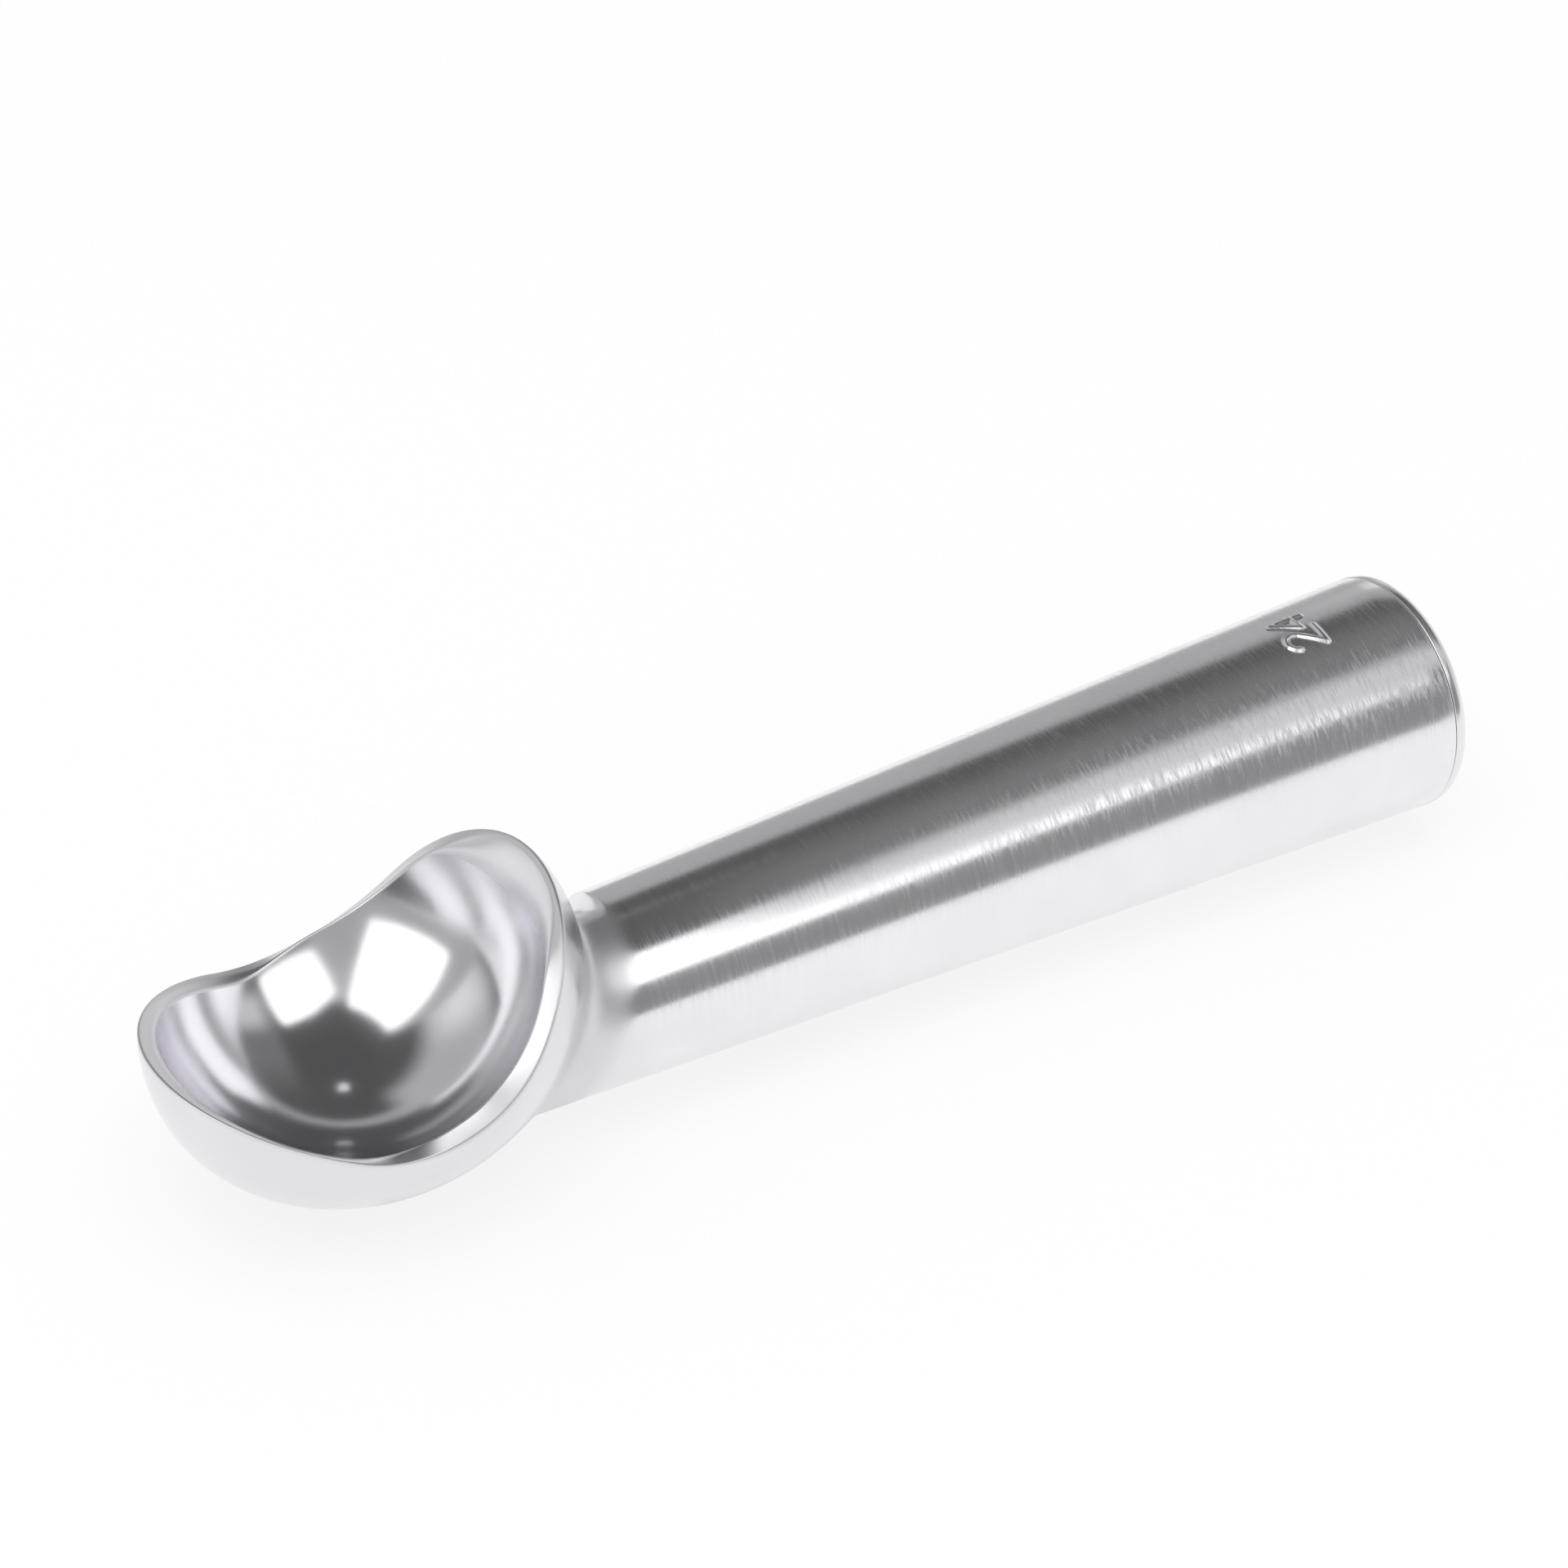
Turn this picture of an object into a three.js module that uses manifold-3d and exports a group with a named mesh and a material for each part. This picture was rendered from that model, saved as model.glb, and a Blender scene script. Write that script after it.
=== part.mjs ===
// Ice cream scoop with a one-piece cast bowl and hollow handle, an end cap with its seal ring,
// and the heat transfer fluid that the handle holds. Millimetres, +Z up.
// The pieces are modelled about the handle's own axis: X, with the end cap's seam at x = 0 and the
// bowl towards -X. The assembly is then tipped so that the bowl and the butt both rest on z = 0.
import * as THREE from 'three';
import { mergeVertices } from 'three/addons/utils/BufferGeometryUtils.js';
import Module from 'manifold-3d';

const wasm = await Module();
wasm.setup();

// Handle: a straight taper from the butt to the shoulder beside the bowl
const BUTT_RADIUS = 16;
const FRONT_RADIUS = 12.1;
const HANDLE_LENGTH = 115.2;
const SHOULDER_SLANT = 45;
const NOTCH_DEPTH = 1.6;

// Bowl: an ellipsoid cup whose centre stands ahead of the shoulder and above the handle's axis
const BOWL_AHEAD = 36;
const BOWL_RISE = 11.7;
const BOWL_HALF_LENGTH = 27.2;
const BOWL_HALF_WIDTH = 21.9;
const BOWL_HALF_HEIGHT = 24.9;

// Cup: a ball-shaped hollow in the bowl, set forward and up for a thin lip and a thick floor. Its
// widest ring lies above the rim, where it is wider than the bowl.
const CUP_AHEAD = 2.5;
const CUP_RAISE = 7.5;
const CUP_END_INSET = 3.7;
const CUP_SIDE_OUTSET = 1.6;
const BOWL_FLOOR = 8.9;

// Rim, seen from the side: a front slope and a back slope joined by an arc at the dip
const DIP_AHEAD = 2.4;
const DIP_BELOW_CENTRE = 7;
const DIP_RADIUS = 20.3;
const FRONT_SLOPE = 23;
const BACK_SLOPE = 52.4;

// Chamber in the handle, and the wider straight seat at its mouth that takes the end cap
const HANDLE_WALL = 3.8;
const CHAMBER_FRONT_WALL = 8;
const SEAT_WALL = 3.6;
const SEAT_RUNOUT = 2;

// End cap: a flange with a rounded edge and a spigot with one seal groove
const FLANGE_THICKNESS = 1.8;
const FLANGE_EDGE_RADIUS = 1.4;
const SPIGOT_LENGTH = 9;
const SPIGOT_CHAMFER = 0.8;
const GROOVE_FROM_FLANGE = 4.5;

// Seal ring, the fluid's height over the handle's axis, and the gap left between neighbours
const SEAL_SECTION_RADIUS = 1.1;
const FLUID_LEVEL = 5;
const CLEARANCE = 0.3;

// How far a cutting shape runs past what it cuts, and how close points count as one
const CUT_MARGIN = 1;
const MERGE_DISTANCE = 1e-4;

const ROUND_SEGMENTS = 48;
const BOWL_RINGS = 28;
const ARC_STEPS = 6;
const SEAL_STEPS = 10;

const radians = THREE.MathUtils.degToRad;
const bowlX = -HANDLE_LENGTH - BOWL_AHEAD;
const seatRadius = BUTT_RADIUS - SEAT_WALL;
const seatX = -SPIGOT_LENGTH - SEAT_RUNOUT;

// Radius of the tapered handle at a place along its axis
function handleRadius(x) {
  return BUTT_RADIUS + (BUTT_RADIUS - FRONT_RADIUS) * x / HANDLE_LENGTH;
}

function toSolid(geometry) {
  const bare = geometry.clone();
  bare.deleteAttribute('normal');
  bare.deleteAttribute('uv');
  const merged = mergeVertices(bare, MERGE_DISTANCE);
  const mesh = new wasm.Mesh({
    numProp: 3,
    vertProperties: new Float32Array(merged.attributes.position.array),
    triVerts: new Uint32Array(merged.index.array),
  });
  return new wasm.Manifold(mesh);
}

function toGeometry(solid) {
  const mesh = solid.getMesh();
  const geometry = new THREE.BufferGeometry();
  geometry.setAttribute('position', new THREE.BufferAttribute(mesh.vertProperties, 3));
  geometry.setIndex(new THREE.BufferAttribute(mesh.triVerts, 1));
  geometry.computeVertexNormals();
  return geometry;
}

// A solid of revolution about X, from [x, radius] points that run towards +X
function turned(profile) {
  const points = profile.map(([x, radius]) => new THREE.Vector2(radius, x));
  return new THREE.LatheGeometry(points, ROUND_SEGMENTS).rotateZ(-Math.PI / 2);
}

// Points [x, radius] on an arc about [x0, r0], from one angle to another, measured from +X
function arc(x0, r0, radius, from, to, steps) {
  return Array.from({ length: steps + 1 }, (_, i) => {
    const angle = radians(from + (to - from) * i / steps);
    return [x0 + radius * Math.cos(angle), r0 + radius * Math.sin(angle)];
  });
}

function ellipsoid(halfLength, halfWidth, halfHeight) {
  return new THREE.SphereGeometry(1, ROUND_SEGMENTS, BOWL_RINGS)
    .rotateX(Math.PI / 2)
    .scale(halfLength, halfWidth, halfHeight);
}

function bowlOutside() {
  return ellipsoid(BOWL_HALF_LENGTH, BOWL_HALF_WIDTH, BOWL_HALF_HEIGHT)
    .translate(bowlX, 0, BOWL_RISE);
}

function cupInside() {
  const halfHeight = BOWL_HALF_HEIGHT + CUP_RAISE - BOWL_FLOOR;
  return ellipsoid(BOWL_HALF_LENGTH - CUP_END_INSET, BOWL_HALF_WIDTH + CUP_SIDE_OUTSET, halfHeight)
    .translate(bowlX - CUP_AHEAD, 0, BOWL_RISE + CUP_RAISE);
}

// Everything above the rim, as a side outline pushed across the whole width of the bowl
function aboveRim() {
  const dipX = bowlX - DIP_AHEAD;
  const arcZ = BOWL_RISE - DIP_BELOW_CENTRE + DIP_RADIUS;
  const reach = 2 * BOWL_HALF_LENGTH;
  const front = radians(FRONT_SLOPE);
  const back = radians(BACK_SLOPE);
  const frontX = dipX - DIP_RADIUS * Math.sin(front);
  const frontZ = arcZ - DIP_RADIUS * Math.cos(front);
  const backX = dipX + DIP_RADIUS * Math.sin(back);
  const backZ = arcZ - DIP_RADIUS * Math.cos(back);
  const topZ = backZ + reach * Math.sin(back);
  const outline = new THREE.Shape();
  outline.moveTo(frontX - reach, topZ);
  outline.lineTo(frontX - reach, frontZ + reach * Math.tan(front));
  outline.lineTo(frontX, frontZ);
  outline.absarc(dipX, arcZ, DIP_RADIUS, -Math.PI / 2 - front, -Math.PI / 2 + back, false);
  outline.lineTo(backX + reach * Math.cos(back), topZ);
  outline.closePath();
  return new THREE.ExtrudeGeometry(outline, {
    depth: 2 * (BOWL_HALF_WIDTH + CUT_MARGIN), bevelEnabled: false, curveSegments: 3 * ARC_STEPS,
  }).translate(0, 0, -BOWL_HALF_WIDTH - CUT_MARGIN).rotateX(Math.PI / 2);
}

// The block that slants the handle's front end away from the bowl, below which the neck remains
function aboveShoulder() {
  const size = 2 * (BOWL_AHEAD + BUTT_RADIUS);
  return new THREE.BoxGeometry(size, 4 * BUTT_RADIUS, size)
    .translate(-size / 2, 0, 0)
    .rotateY(radians(SHOULDER_SLANT))
    .translate(-HANDLE_LENGTH, 0, FRONT_RADIUS);
}

// The chamber's outline in the handle, taken in from its walls by an inset
function chamberProfile(inset, mouthX) {
  const frontX = CHAMBER_FRONT_WALL - HANDLE_LENGTH;
  const domeRadius = handleRadius(frontX) - HANDLE_WALL - inset;
  const dome = arc(frontX + domeRadius + inset, 0, domeRadius, 180, 90, ARC_STEPS);
  dome[0][1] = 0;
  return [
    ...dome,
    [seatX + inset, handleRadius(seatX) - HANDLE_WALL - inset],
    [seatX + inset, seatRadius - inset],
    [mouthX, seatRadius - inset],
    [mouthX, 0],
  ];
}

function scoopBody() {
  const taper = toSolid(turned([
    [bowlX, 0],
    [bowlX, handleRadius(bowlX)],
    [0, BUTT_RADIUS],
    [0, 0],
  ]));
  const neckRadius = FRONT_RADIUS - NOTCH_DEPTH;
  const neck = toSolid(turned([
    [bowlX, 0],
    [bowlX, neckRadius],
    [-HANDLE_LENGTH + FRONT_RADIUS, neckRadius],
    [-HANDLE_LENGTH + FRONT_RADIUS, 0],
  ]));
  const chamber = toSolid(turned(chamberProfile(0, CUT_MARGIN)));
  const solid = taper.subtract(toSolid(aboveShoulder()))
    .add(neck)
    .add(toSolid(bowlOutside()))
    .subtract(toSolid(aboveRim()))
    .subtract(toSolid(cupInside()))
    .subtract(chamber);
  return toGeometry(solid);
}

// The groove leaves the seal ring clear of its floor, its sides and the seat
const spigotRadius = seatRadius - CLEARANCE;
const sealRadius = seatRadius - CLEARANCE - SEAL_SECTION_RADIUS;
const grooveFloor = sealRadius - SEAL_SECTION_RADIUS - CLEARANCE;
const grooveHalfWidth = SEAL_SECTION_RADIUS + CLEARANCE;
const grooveX = -GROOVE_FROM_FLANGE;

function endCap() {
  const flangeX = CLEARANCE;
  const endX = flangeX + FLANGE_THICKNESS;
  const edge = arc(endX - FLANGE_EDGE_RADIUS, BUTT_RADIUS - FLANGE_EDGE_RADIUS, FLANGE_EDGE_RADIUS,
    90, 0, ARC_STEPS);
  return turned([
    [-SPIGOT_LENGTH, 0],
    [-SPIGOT_LENGTH, spigotRadius - SPIGOT_CHAMFER],
    [-SPIGOT_LENGTH + SPIGOT_CHAMFER, spigotRadius],
    [grooveX - grooveHalfWidth, spigotRadius],
    [grooveX - grooveHalfWidth, grooveFloor],
    [grooveX + grooveHalfWidth, grooveFloor],
    [grooveX + grooveHalfWidth, spigotRadius],
    [flangeX, spigotRadius],
    [flangeX, BUTT_RADIUS],
    ...edge,
    [endX, 0],
  ]);
}

function sealRing() {
  return new THREE.TorusGeometry(sealRadius, SEAL_SECTION_RADIUS, SEAL_STEPS, ROUND_SEGMENTS)
    .rotateY(Math.PI / 2)
    .translate(grooveX, 0, 0);
}

// The fluid lies level in the tipped handle, so its surface is turned back by the rest angle
function fluid(restAngle) {
  const filled = toSolid(turned(chamberProfile(CLEARANCE, -SPIGOT_LENGTH - CLEARANCE)));
  const size = 2 * HANDLE_LENGTH;
  const air = new THREE.BoxGeometry(size, size, size)
    .translate(0, 0, FLUID_LEVEL + size / 2)
    .rotateY(-restAngle)
    .translate(-HANDLE_LENGTH / 2, 0, 0);
  return toGeometry(filled.subtract(toSolid(air)));
}

// Turn about Y at which the bowl's underside and the butt's edge reach the same height
function findRestAngle() {
  const rise = BUTT_RADIUS + BOWL_RISE;
  const a = bowlX ** 2 - BOWL_HALF_LENGTH ** 2;
  const b = bowlX * rise;
  const c = rise ** 2 - BOWL_HALF_HEIGHT ** 2;
  return Math.atan((b + Math.sqrt(b ** 2 - a * c)) / a);
}

const castAluminium = new THREE.MeshStandardMaterial({ color: 0xd6d7da, roughness: 0.16, metalness: 1 });
const turnedAluminium = new THREE.MeshStandardMaterial({ color: 0xcfd0d4, roughness: 0.24, metalness: 1 });
const nitrileRubber = new THREE.MeshStandardMaterial({ color: 0x1c1c1e, roughness: 0.7, metalness: 0 });
const clearFluid = new THREE.MeshStandardMaterial({ color: 0xb9d3dc, roughness: 0.1, metalness: 0 });

function piece(name, geometry, material) {
  const mesh = new THREE.Mesh(geometry, material);
  mesh.name = name;
  return mesh;
}

const restAngle = findRestAngle();
const tipped = new THREE.Group();
tipped.rotation.y = restAngle;
tipped.add(
  piece('scoop_body', scoopBody(), castAluminium),
  piece('end_cap', endCap(), turnedAluminium),
  piece('seal_ring', sealRing(), nitrileRubber),
  piece('heat_transfer_fluid', fluid(restAngle), clearFluid),
);

const scoop = new THREE.Group();
scoop.name = 'ice_cream_scoop';
scoop.add(tipped);

// Origin under the middle of the scoop, on the surface it lies on
const box = new THREE.Box3().setFromObject(scoop, true);
const middle = box.getCenter(new THREE.Vector3());
tipped.position.set(-middle.x, -middle.y, -box.min.z);

export default scoop;
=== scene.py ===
"""Ice cream scoop on a pale studio floor: a cast bowl and handle, its end cap, seal ring and fluid.

Shapes are in millimetres about the handle's own axis: X, with the end cap's seam at x = 0, the bowl
towards -X and Z up. An angle round that axis starts at the front, -Y, and passes over the top.
The studio's places are in millimetres in the frame, and its directions are an azimuth and an
elevation in degrees, where azimuth 0 is the front, -Y, and 90 is the right, +X.
"""

import bpy
import numpy as np
from mathutils import Matrix, Vector


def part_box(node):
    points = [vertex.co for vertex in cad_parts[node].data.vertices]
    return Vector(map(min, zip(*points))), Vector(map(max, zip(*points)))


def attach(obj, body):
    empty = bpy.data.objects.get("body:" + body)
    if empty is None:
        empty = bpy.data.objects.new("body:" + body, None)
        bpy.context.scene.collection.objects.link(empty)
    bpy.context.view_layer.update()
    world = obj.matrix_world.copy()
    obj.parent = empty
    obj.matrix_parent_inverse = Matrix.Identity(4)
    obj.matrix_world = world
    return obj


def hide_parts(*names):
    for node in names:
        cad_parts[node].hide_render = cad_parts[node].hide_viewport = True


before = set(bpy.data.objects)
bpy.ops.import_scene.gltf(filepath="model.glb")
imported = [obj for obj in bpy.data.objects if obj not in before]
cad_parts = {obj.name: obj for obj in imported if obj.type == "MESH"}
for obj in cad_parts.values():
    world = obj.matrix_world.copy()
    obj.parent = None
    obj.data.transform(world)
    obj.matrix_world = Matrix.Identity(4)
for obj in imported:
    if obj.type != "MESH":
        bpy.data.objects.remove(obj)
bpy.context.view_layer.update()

# Units and directions
MM = 0.001
AXIS = np.array([1.0, 0.0, 0.0])
FRONT = np.array([0.0, -1.0, 0.0])
DOWN = np.array([0.0, 0.0, -1.0])
TOP_ANGLE = np.radians(90)

# How far the drawn outside lies within the solid's, so that it stays inside its flat facets
SKIN = 0.03

# Handle
BUTT_RADIUS = 16.0 - SKIN
FRONT_RADIUS = 12.1 - SKIN
HANDLE_LENGTH = 115.2
BUTT_EDGE = 0.22
NECK_START = -110.0

# Bowl, an ellipsoid, and the ball-shaped cup inside it
BOWL_AHEAD = 36.0
BOWL_RISE = 11.7
BOWL_HALF = np.array([27.2, 21.9, 24.9]) - SKIN
BOWL_CENTRE = np.array([-HANDLE_LENGTH - BOWL_AHEAD, 0.0, BOWL_RISE])
CUP_AHEAD = 2.5
CUP_RAISE = 7.5
CUP_END_INSET = 3.7
CUP_SIDE_OUTSET = 1.6
CUP_BOTTOM_LEAN = 0.12
BOWL_FLOOR = 8.9
CUP_HALF = BOWL_HALF + SKIN + np.array([-CUP_END_INSET, CUP_SIDE_OUTSET, CUP_RAISE - BOWL_FLOOR])
CUP_CENTRE = BOWL_CENTRE + np.array([-CUP_AHEAD, 0.0, CUP_RAISE])

# Rim, seen from the side: two slopes joined by an arc at the dip
DIP_AHEAD = 2.4
DIP_BELOW_CENTRE = 7.0
DIP_RADIUS = 20.3
FRONT_SLOPE = np.radians(23.0)
BACK_SLOPE = np.radians(52.4)

# Rim's land: it falls outwards at the sides, and rolls over into the cup at the hump and the tip
RIM_BAND = 3.6
BACK_LIFT = 1.7

# Where along X the land's form changes, from the start of a change to its end
BACK_X = (-159.5, -148.0)
HUMP_X = (-133.5, -128.5)
TIP_X = (-153.0, -164.0)

# Rounded edges of the land: shares of its width, lengths down the walls, and the share tucked in
OUTER_SHARE = 0.16
OUTER_DROP = 0.3
INNER_SHARE_SIDE = 0.12
INNER_SHARE_END = 0.8
ROLL_SIDE = 0.25
ROLL_HUMP = 4.0
ROLL_TIP = 1.0
TUCK = 0.2

# Notch on the far side of the neck's top
NOTCH_START = -118.0
NOTCH_LENGTH = 1.5
NOTCH_DEPTH = 1.9
NOTCH_MIDDLE = np.radians(138.0)
NOTCH_FULL = np.radians(20.0)
NOTCH_FADE = np.radians(34.0)

# Fillet between handle and bowl, widest at the sides, with spans of the angle's sine
FILLET_TOP = 4.5
FILLET_SIDE = 6.5
FILLET_BOTTOM = 3.6
FILLET_TOP_SPAN = (0.6, 0.95)
FILLET_BOTTOM_SPAN = (0.05, -0.8)

# Where the searches for the joint and the rim start and end
CREASE_SEARCH_REACH = 10.0
RIM_SEARCH_START = np.radians(12)
RIM_SEARCH_TURN = 0.6

# Softer finish: its reach about the joint, and how soft it is on the rim, from 0 to 1
JOINT_REACH = 8.5
JOINT_FADE = 4.5
LAND_SOFTNESS = 0.7
EDGE_SOFTNESS = 1.0

# Chamber in the handle and the seat of the end cap
HANDLE_WALL = 3.8
CHAMBER_FRONT_WALL = 8.0
SEAT_WALL = 3.6 - SKIN
SEAT_RADIUS = BUTT_RADIUS - SEAT_WALL
SEAT_RUNOUT = 2.0
SEAT_SLOPE = 0.2

# End cap, seal ring and fluid
FLANGE_THICKNESS = 1.8
FLANGE_EDGE_RADIUS = 1.4
FLANGE_SEAM_EDGE = 0.18
SPIGOT_LENGTH = 9.0
SPIGOT_CHAMFER = 0.8
GROOVE_FROM_FLANGE = 4.5
SEAL_SECTION_RADIUS = 1.1
FLUID_LEVEL = 5.0
CLEARANCE = 0.3
SEAM_GAP = 0.08
SPIGOT_RADIUS = SEAT_RADIUS - CLEARANCE
CAP_FACE_RADII = (12.0, 8.0, 4.0, 1.0)

# Raised size number near the butt: strokes across the handle and along it, towards the bowl
NUMBER_X = -12.8
NUMBER_HEIGHT = 0.42
NUMBER_STROKE = 0.62
NUMBER_REACH = np.radians(22.0)
TWO_BEND_CENTRE = (-1.5, 3.95)
TWO_BEND_RADIUS = 1.4
TWO_BEND_FROM = 170.0
TWO_BEND_TO = -38.0
TWO_FOOT = ((-3.15, 0.2), (0.35, 0.0))
FOUR = ((3.1, 0.1), (3.1, 4.9), (0.55, 1.65), (3.6, 1.65))

# How finely the surfaces are divided
NUMBER_SEGMENTS = 72
REST_SEGMENTS = 200
TURNED_SEGMENTS = 192
NUMBER_STEP = 0.15
HANDLE_STEP = 2.5
NECK_SAMPLES = 240
BOWL_SAMPLES = 320
RIM_SAMPLES = 4001
NECK_RINGS = 150
BAND_RINGS = 6
OUTER_EDGE_RINGS = 13
INNER_EDGE_RINGS = 17
CUP_RINGS = 80
DOME_RINGS = 14
SMALL_EDGE_RINGS = 6
FLANGE_EDGE_RINGS = 14
SEAL_RINGS = 32
BEND_POINTS = 14
SHARP_ANGLE = np.radians(38)


def smoothstep(t):
    t = np.clip(t, 0, 1)
    return t * t * (3 - 2 * t)


def past(x, span):
    """From 0 to 1 as x goes across a span."""
    return smoothstep((x - span[0]) / (span[1] - span[0]))


def unit(v):
    return v / np.linalg.norm(v, axis=-1, keepdims=True)


def handle_radius(x):
    return BUTT_RADIUS + (BUTT_RADIUS - FRONT_RADIUS) * x / HANDLE_LENGTH


def around(x, radius, angle):
    """Points at a distance from the handle's axis, at angles round it."""
    x, radius, angle = np.broadcast_arrays(x, radius, angle)
    return np.stack([x, -radius * np.cos(angle), radius * np.sin(angle)], -1)


def angle_round(p):
    """The angle of points round the handle's axis."""
    return np.arctan2(p[..., 2], -p[..., 1])


def segment_angles():
    """Angles round the axis, closer together where the number is."""
    start, end = TOP_ANGLE - NUMBER_REACH, TOP_ANGLE + NUMBER_REACH
    dense = np.linspace(start, end, NUMBER_SEGMENTS, endpoint=False)
    rest = np.linspace(end, start + 2 * np.pi, REST_SEGMENTS, endpoint=False)
    return np.concatenate([dense, rest])


ANGLES = segment_angles()


def solve(f, low, high, rounds=50):
    """Where f goes from below zero to above it, between low and high."""
    for _ in range(rounds):
        middle = (low + high) / 2
        below = f(middle) < 0
        low = np.where(below, middle, low)
        high = np.where(below, high, middle)
    return (low + high) / 2


# Outside of the scoop, as the distance to a handle and a bowl that flow into each other

def notch(x, angle):
    away = np.abs((angle - NOTCH_MIDDLE + np.pi) % (2 * np.pi) - np.pi)
    share = 1 - smoothstep((away - NOTCH_FULL) / NOTCH_FADE)
    return NOTCH_DEPTH * share * smoothstep((NOTCH_START - x) / NOTCH_LENGTH)


def handle_distance(p):
    x = p[..., 0]
    side = np.hypot(p[..., 1], p[..., 2]) - handle_radius(x) + notch(x, angle_round(p))
    return np.maximum(side, BOWL_CENTRE[0] - x)


def bowl_distance(p):
    q = (p - BOWL_CENTRE) / BOWL_HALF
    size = np.linalg.norm(q, axis=-1)
    return size * (size - 1) / np.linalg.norm(q / BOWL_HALF, axis=-1)


def fillet_width(p):
    up = np.sin(angle_round(p))
    width = FILLET_SIDE + (FILLET_TOP - FILLET_SIDE) * past(up, FILLET_TOP_SPAN)
    return width + (FILLET_BOTTOM - FILLET_SIDE) * past(up, FILLET_BOTTOM_SPAN)


def outside_distance(p):
    handle, bowl, width = handle_distance(p), bowl_distance(p), fillet_width(p)
    near = np.maximum(width - np.abs(handle - bowl), 0) / width
    return np.minimum(handle, bowl) - near ** 3 * width / 6


def at_joint(p):
    """How near a point of the outside is to the joint of handle and bowl."""
    gap = np.abs(handle_distance(p) - bowl_distance(p))
    near = smoothstep((JOINT_REACH - gap) / JOINT_FADE)
    return np.where(np.abs(outside_distance(p)) < SKIN, near, 0)


def settle(p, rounds):
    """Moves points onto the outside of the scoop."""
    step = 1e-3
    for _ in range(rounds):
        rise = [outside_distance(p + d) - outside_distance(p - d) for d in step * np.eye(3)]
        slope = np.stack(rise, -1) / (2 * step)
        p = p - (outside_distance(p) / np.sum(slope * slope, -1))[..., None] * slope
    return p


# Rim

def rim_height(x):
    dip_x = BOWL_CENTRE[0] - DIP_AHEAD
    arc_z = BOWL_RISE - DIP_BELOW_CENTRE + DIP_RADIUS
    low = dip_x - DIP_RADIUS * np.sin(FRONT_SLOPE)
    high = dip_x + DIP_RADIUS * np.sin(BACK_SLOPE)
    arc = arc_z - np.sqrt(DIP_RADIUS ** 2 - (np.clip(x, low, high) - dip_x) ** 2)
    front = np.maximum(low - x, 0) * np.tan(FRONT_SLOPE)
    back = np.maximum(x - high, 0) * np.tan(BACK_SLOPE)
    return arc + front + back


CREASE_X = solve(
    lambda x: bowl_distance(around(x, handle_radius(x), ANGLES)),
    np.full(len(ANGLES), BOWL_CENTRE[0]),
    np.full(len(ANGLES), NECK_START + CREASE_SEARCH_REACH))
CREASE = (around(CREASE_X, handle_radius(CREASE_X), ANGLES) - BOWL_CENTRE) / BOWL_HALF
POLE = unit(CREASE.mean(0))
RISE = np.cross(FRONT, POLE)
RISE *= np.sign(RISE[2])


def land_lift(x):
    """How far the land's inner edge stands over its outer edge."""
    return BACK_LIFT * past(x, BACK_X) * (1 - past(x, HUMP_X))


def rim_points(turn, centre, half, lift=np.zeros_like):
    """Where an ellipsoid meets the rim's outline, at turns about the joint with the handle."""
    lead = np.cos(turn)[:, None] * FRONT + np.sin(turn)[:, None] * RISE

    def place(tilt):
        return centre + (np.cos(tilt)[:, None] * POLE + np.sin(tilt)[:, None] * lead) * half

    def above(tilt):
        p = place(tilt)
        return p[:, 2] - rim_height(p[:, 0]) - lift(p[:, 0])

    return place(solve(above, np.full(len(turn), RIM_SEARCH_START), np.full(len(turn), np.pi)))


def rim_loops():
    """The rim's outer and inner edge and its direction, with the inner points square across."""
    turns = np.linspace(0, 2 * np.pi, RIM_SAMPLES) + TOP_ANGLE
    steps = np.linalg.norm(np.diff(rim_points(turns, BOWL_CENTRE, BOWL_HALF), axis=0), axis=1)
    length = np.concatenate([[0], np.cumsum(steps)])
    share = (ANGLES - TOP_ANGLE) % (2 * np.pi) / (2 * np.pi)
    turn = np.interp(share * length[-1], length, turns)
    outer = rim_points(turn, BOWL_CENTRE, BOWL_HALF)
    small = 1e-4
    ahead = rim_points(turn + small, BOWL_CENTRE, BOWL_HALF)
    along = unit(ahead - rim_points(turn - small, BOWL_CENTRE, BOWL_HALF))

    def ahead_of_outer(other):
        return np.sum((rim_points(other, CUP_CENTRE, CUP_HALF, land_lift) - outer) * along, -1)

    inner_turn = solve(ahead_of_outer, turn - RIM_SEARCH_TURN, turn + RIM_SEARCH_TURN)
    inner = rim_points(inner_turn, CUP_CENTRE, CUP_HALF, land_lift)
    return outer, inner, along


def wall_slope(p, along, centre, half):
    """The way down an ellipsoid's wall, square to the rim."""
    down = np.cross(along, unit((p - centre) / half ** 2))
    return down * np.sign(np.sum(down * DOWN, -1, keepdims=True))


def down_the_wall(start, along, centre, half, distances):
    moved = start + distances[..., None] * wall_slope(start, along, centre, half)
    return centre + unit((moved - centre) / half) * half


def rounded(a, b, c, steps):
    """Rings that round the corner b between a and c."""
    t = np.linspace(0, 1, steps)[:, None, None]
    return (1 - t) ** 2 * a + 2 * t * (1 - t) * b + t ** 2 * c


def great_arcs(a, b, share):
    """Points on the unit sphere on the way from a to b."""
    angle = np.arccos(np.clip(np.sum(a * b, -1), -1, 1))
    from_a = np.sin((1 - share)[:, None] * angle) / np.sin(angle)
    from_b = np.sin(share[:, None] * angle) / np.sin(angle)
    return from_a[..., None] * a + from_b[..., None] * b


# Body

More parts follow.
